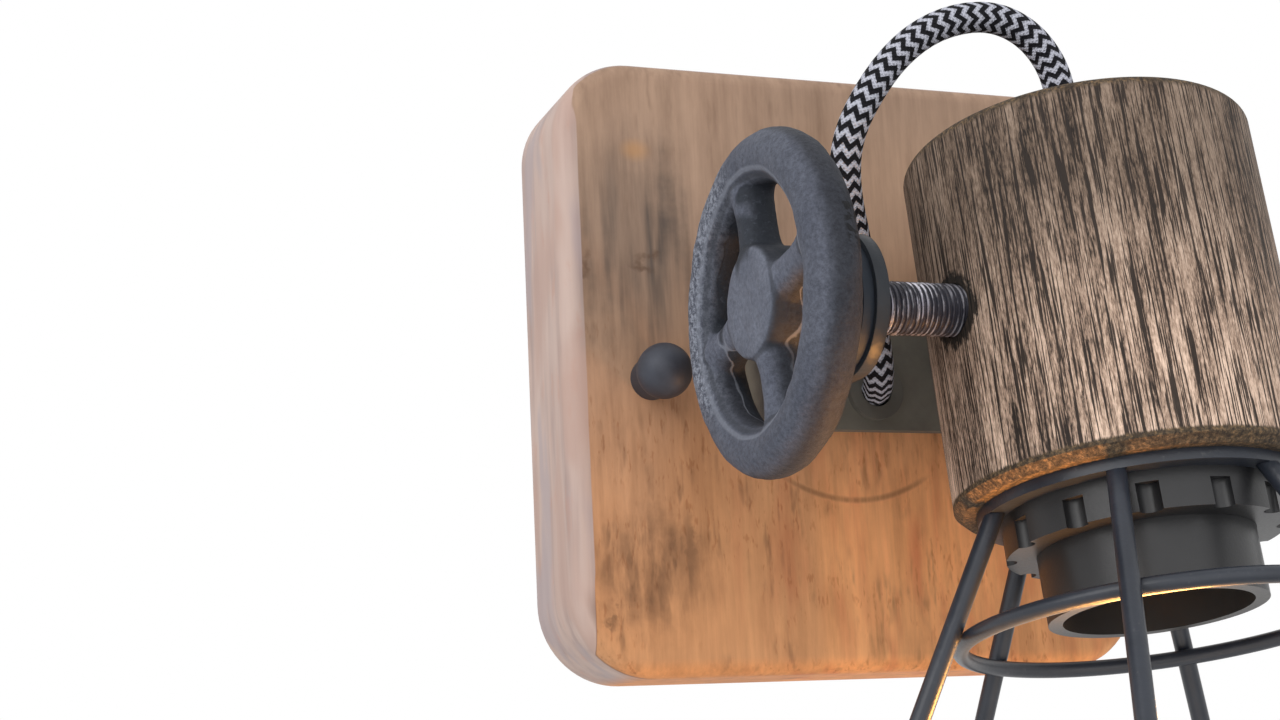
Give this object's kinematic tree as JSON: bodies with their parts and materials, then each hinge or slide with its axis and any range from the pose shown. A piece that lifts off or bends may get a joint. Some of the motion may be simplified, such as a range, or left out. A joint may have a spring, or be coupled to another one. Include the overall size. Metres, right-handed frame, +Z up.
{
  "type": "wall lamp",
  "caption": "Wooden wall lamp: square plate, bent steel arm, and a turned cup with a wire cage that tilts on a threaded stud and is locked by a cast handwheel.",
  "frame": {"origin": "middle of the wall plate's back, on the wall, at the mounting bar's back face", "axes": "+Y into the wall, +Z up, +X to the right as seen by someone who faces the wall"},
  "size_m": [0.161, 0.1576, 0.1894],
  "materials": {
    "plate_wood": "oiled, open grain, stained in places",
    "cup_wood": "raw, weathered grey-brown with dark pores",
    "zinc_steel": "zinc plated",
    "dark_steel": "blackened, satin",
    "stud_steel": "bare thread with bright crests",
    "bracket_paint": "dark grey, matte, worn edges",
    "wheel_paint": "blue-grey paint on a rough casting, worn ridges",
    "cage_paint": "dark blue-grey, satin",
    "brass": "plain",
    "black_rubber": "matte",
    "black_plastic": "matte, phenolic",
    "white_plastic": "plain",
    "porcelain": "glazed ceramic",
    "wire_cover": "plain",
    "cord_textile": "braided black and white zigzag"
  },
  "bodies": {
    "base": {"wall_plate": "plate_wood", "mounting_bar": "zinc_steel", "mounting_studs": "zinc_steel", "cap_nuts": "dark_steel", "terminal_block": "white_plastic", "terminal_screws": "brass", "block_screw": "zinc_steel", "earth_screw": "brass", "core_wires": "wire_cover", "arm_bracket": "bracket_paint", "bracket_screws": "dark_steel", "cord_bush": "black_rubber", "cord": "cord_textile"},
    "head": {"socket_cup": "cup_wood", "pivot_stud": "stud_steel", "cord_gland": "black_plastic", "nipple_tube": "zinc_steel", "holder_cap": "black_plastic", "holder_shell": "black_plastic", "contact_base": "porcelain", "screw_shell": "brass", "centre_contact": "brass", "holder_leads": "wire_cover", "shade_ring": "black_plastic", "cage_flange": "cage_paint", "cage_legs": "cage_paint", "cage_mid_ring": "cage_paint", "cage_bottom_ring": "cage_paint"},
    "washer": {"wheel_washer": "dark_steel"},
    "wheel": {"handwheel": "wheel_paint"}
  },
  "joints": [
    {"name": "head_tilt", "type": "hinge", "parent": "base", "child": "head", "pos_m": [0, -0.076, -0.001], "axis": [-1, 0, 0], "range_deg": [-8, 26], "deforming": ["cord"]},
    {"name": "washer_slide", "type": "slide", "parent": "head", "child": "washer", "axis": [-1, 0, 0], "range_m": [0, 0.001]},
    {"name": "wheel_turn", "type": "hinge", "parent": "washer", "child": "wheel", "pos_m": [0, -0.076, -0.001], "axis": [-1, 0, 0], "range_deg": [0, 360]}
  ],
  "couplings": [
    {"joint": "washer_slide", "follows": "wheel_turn", "m_per_rad": 0.00015915}
  ]
}
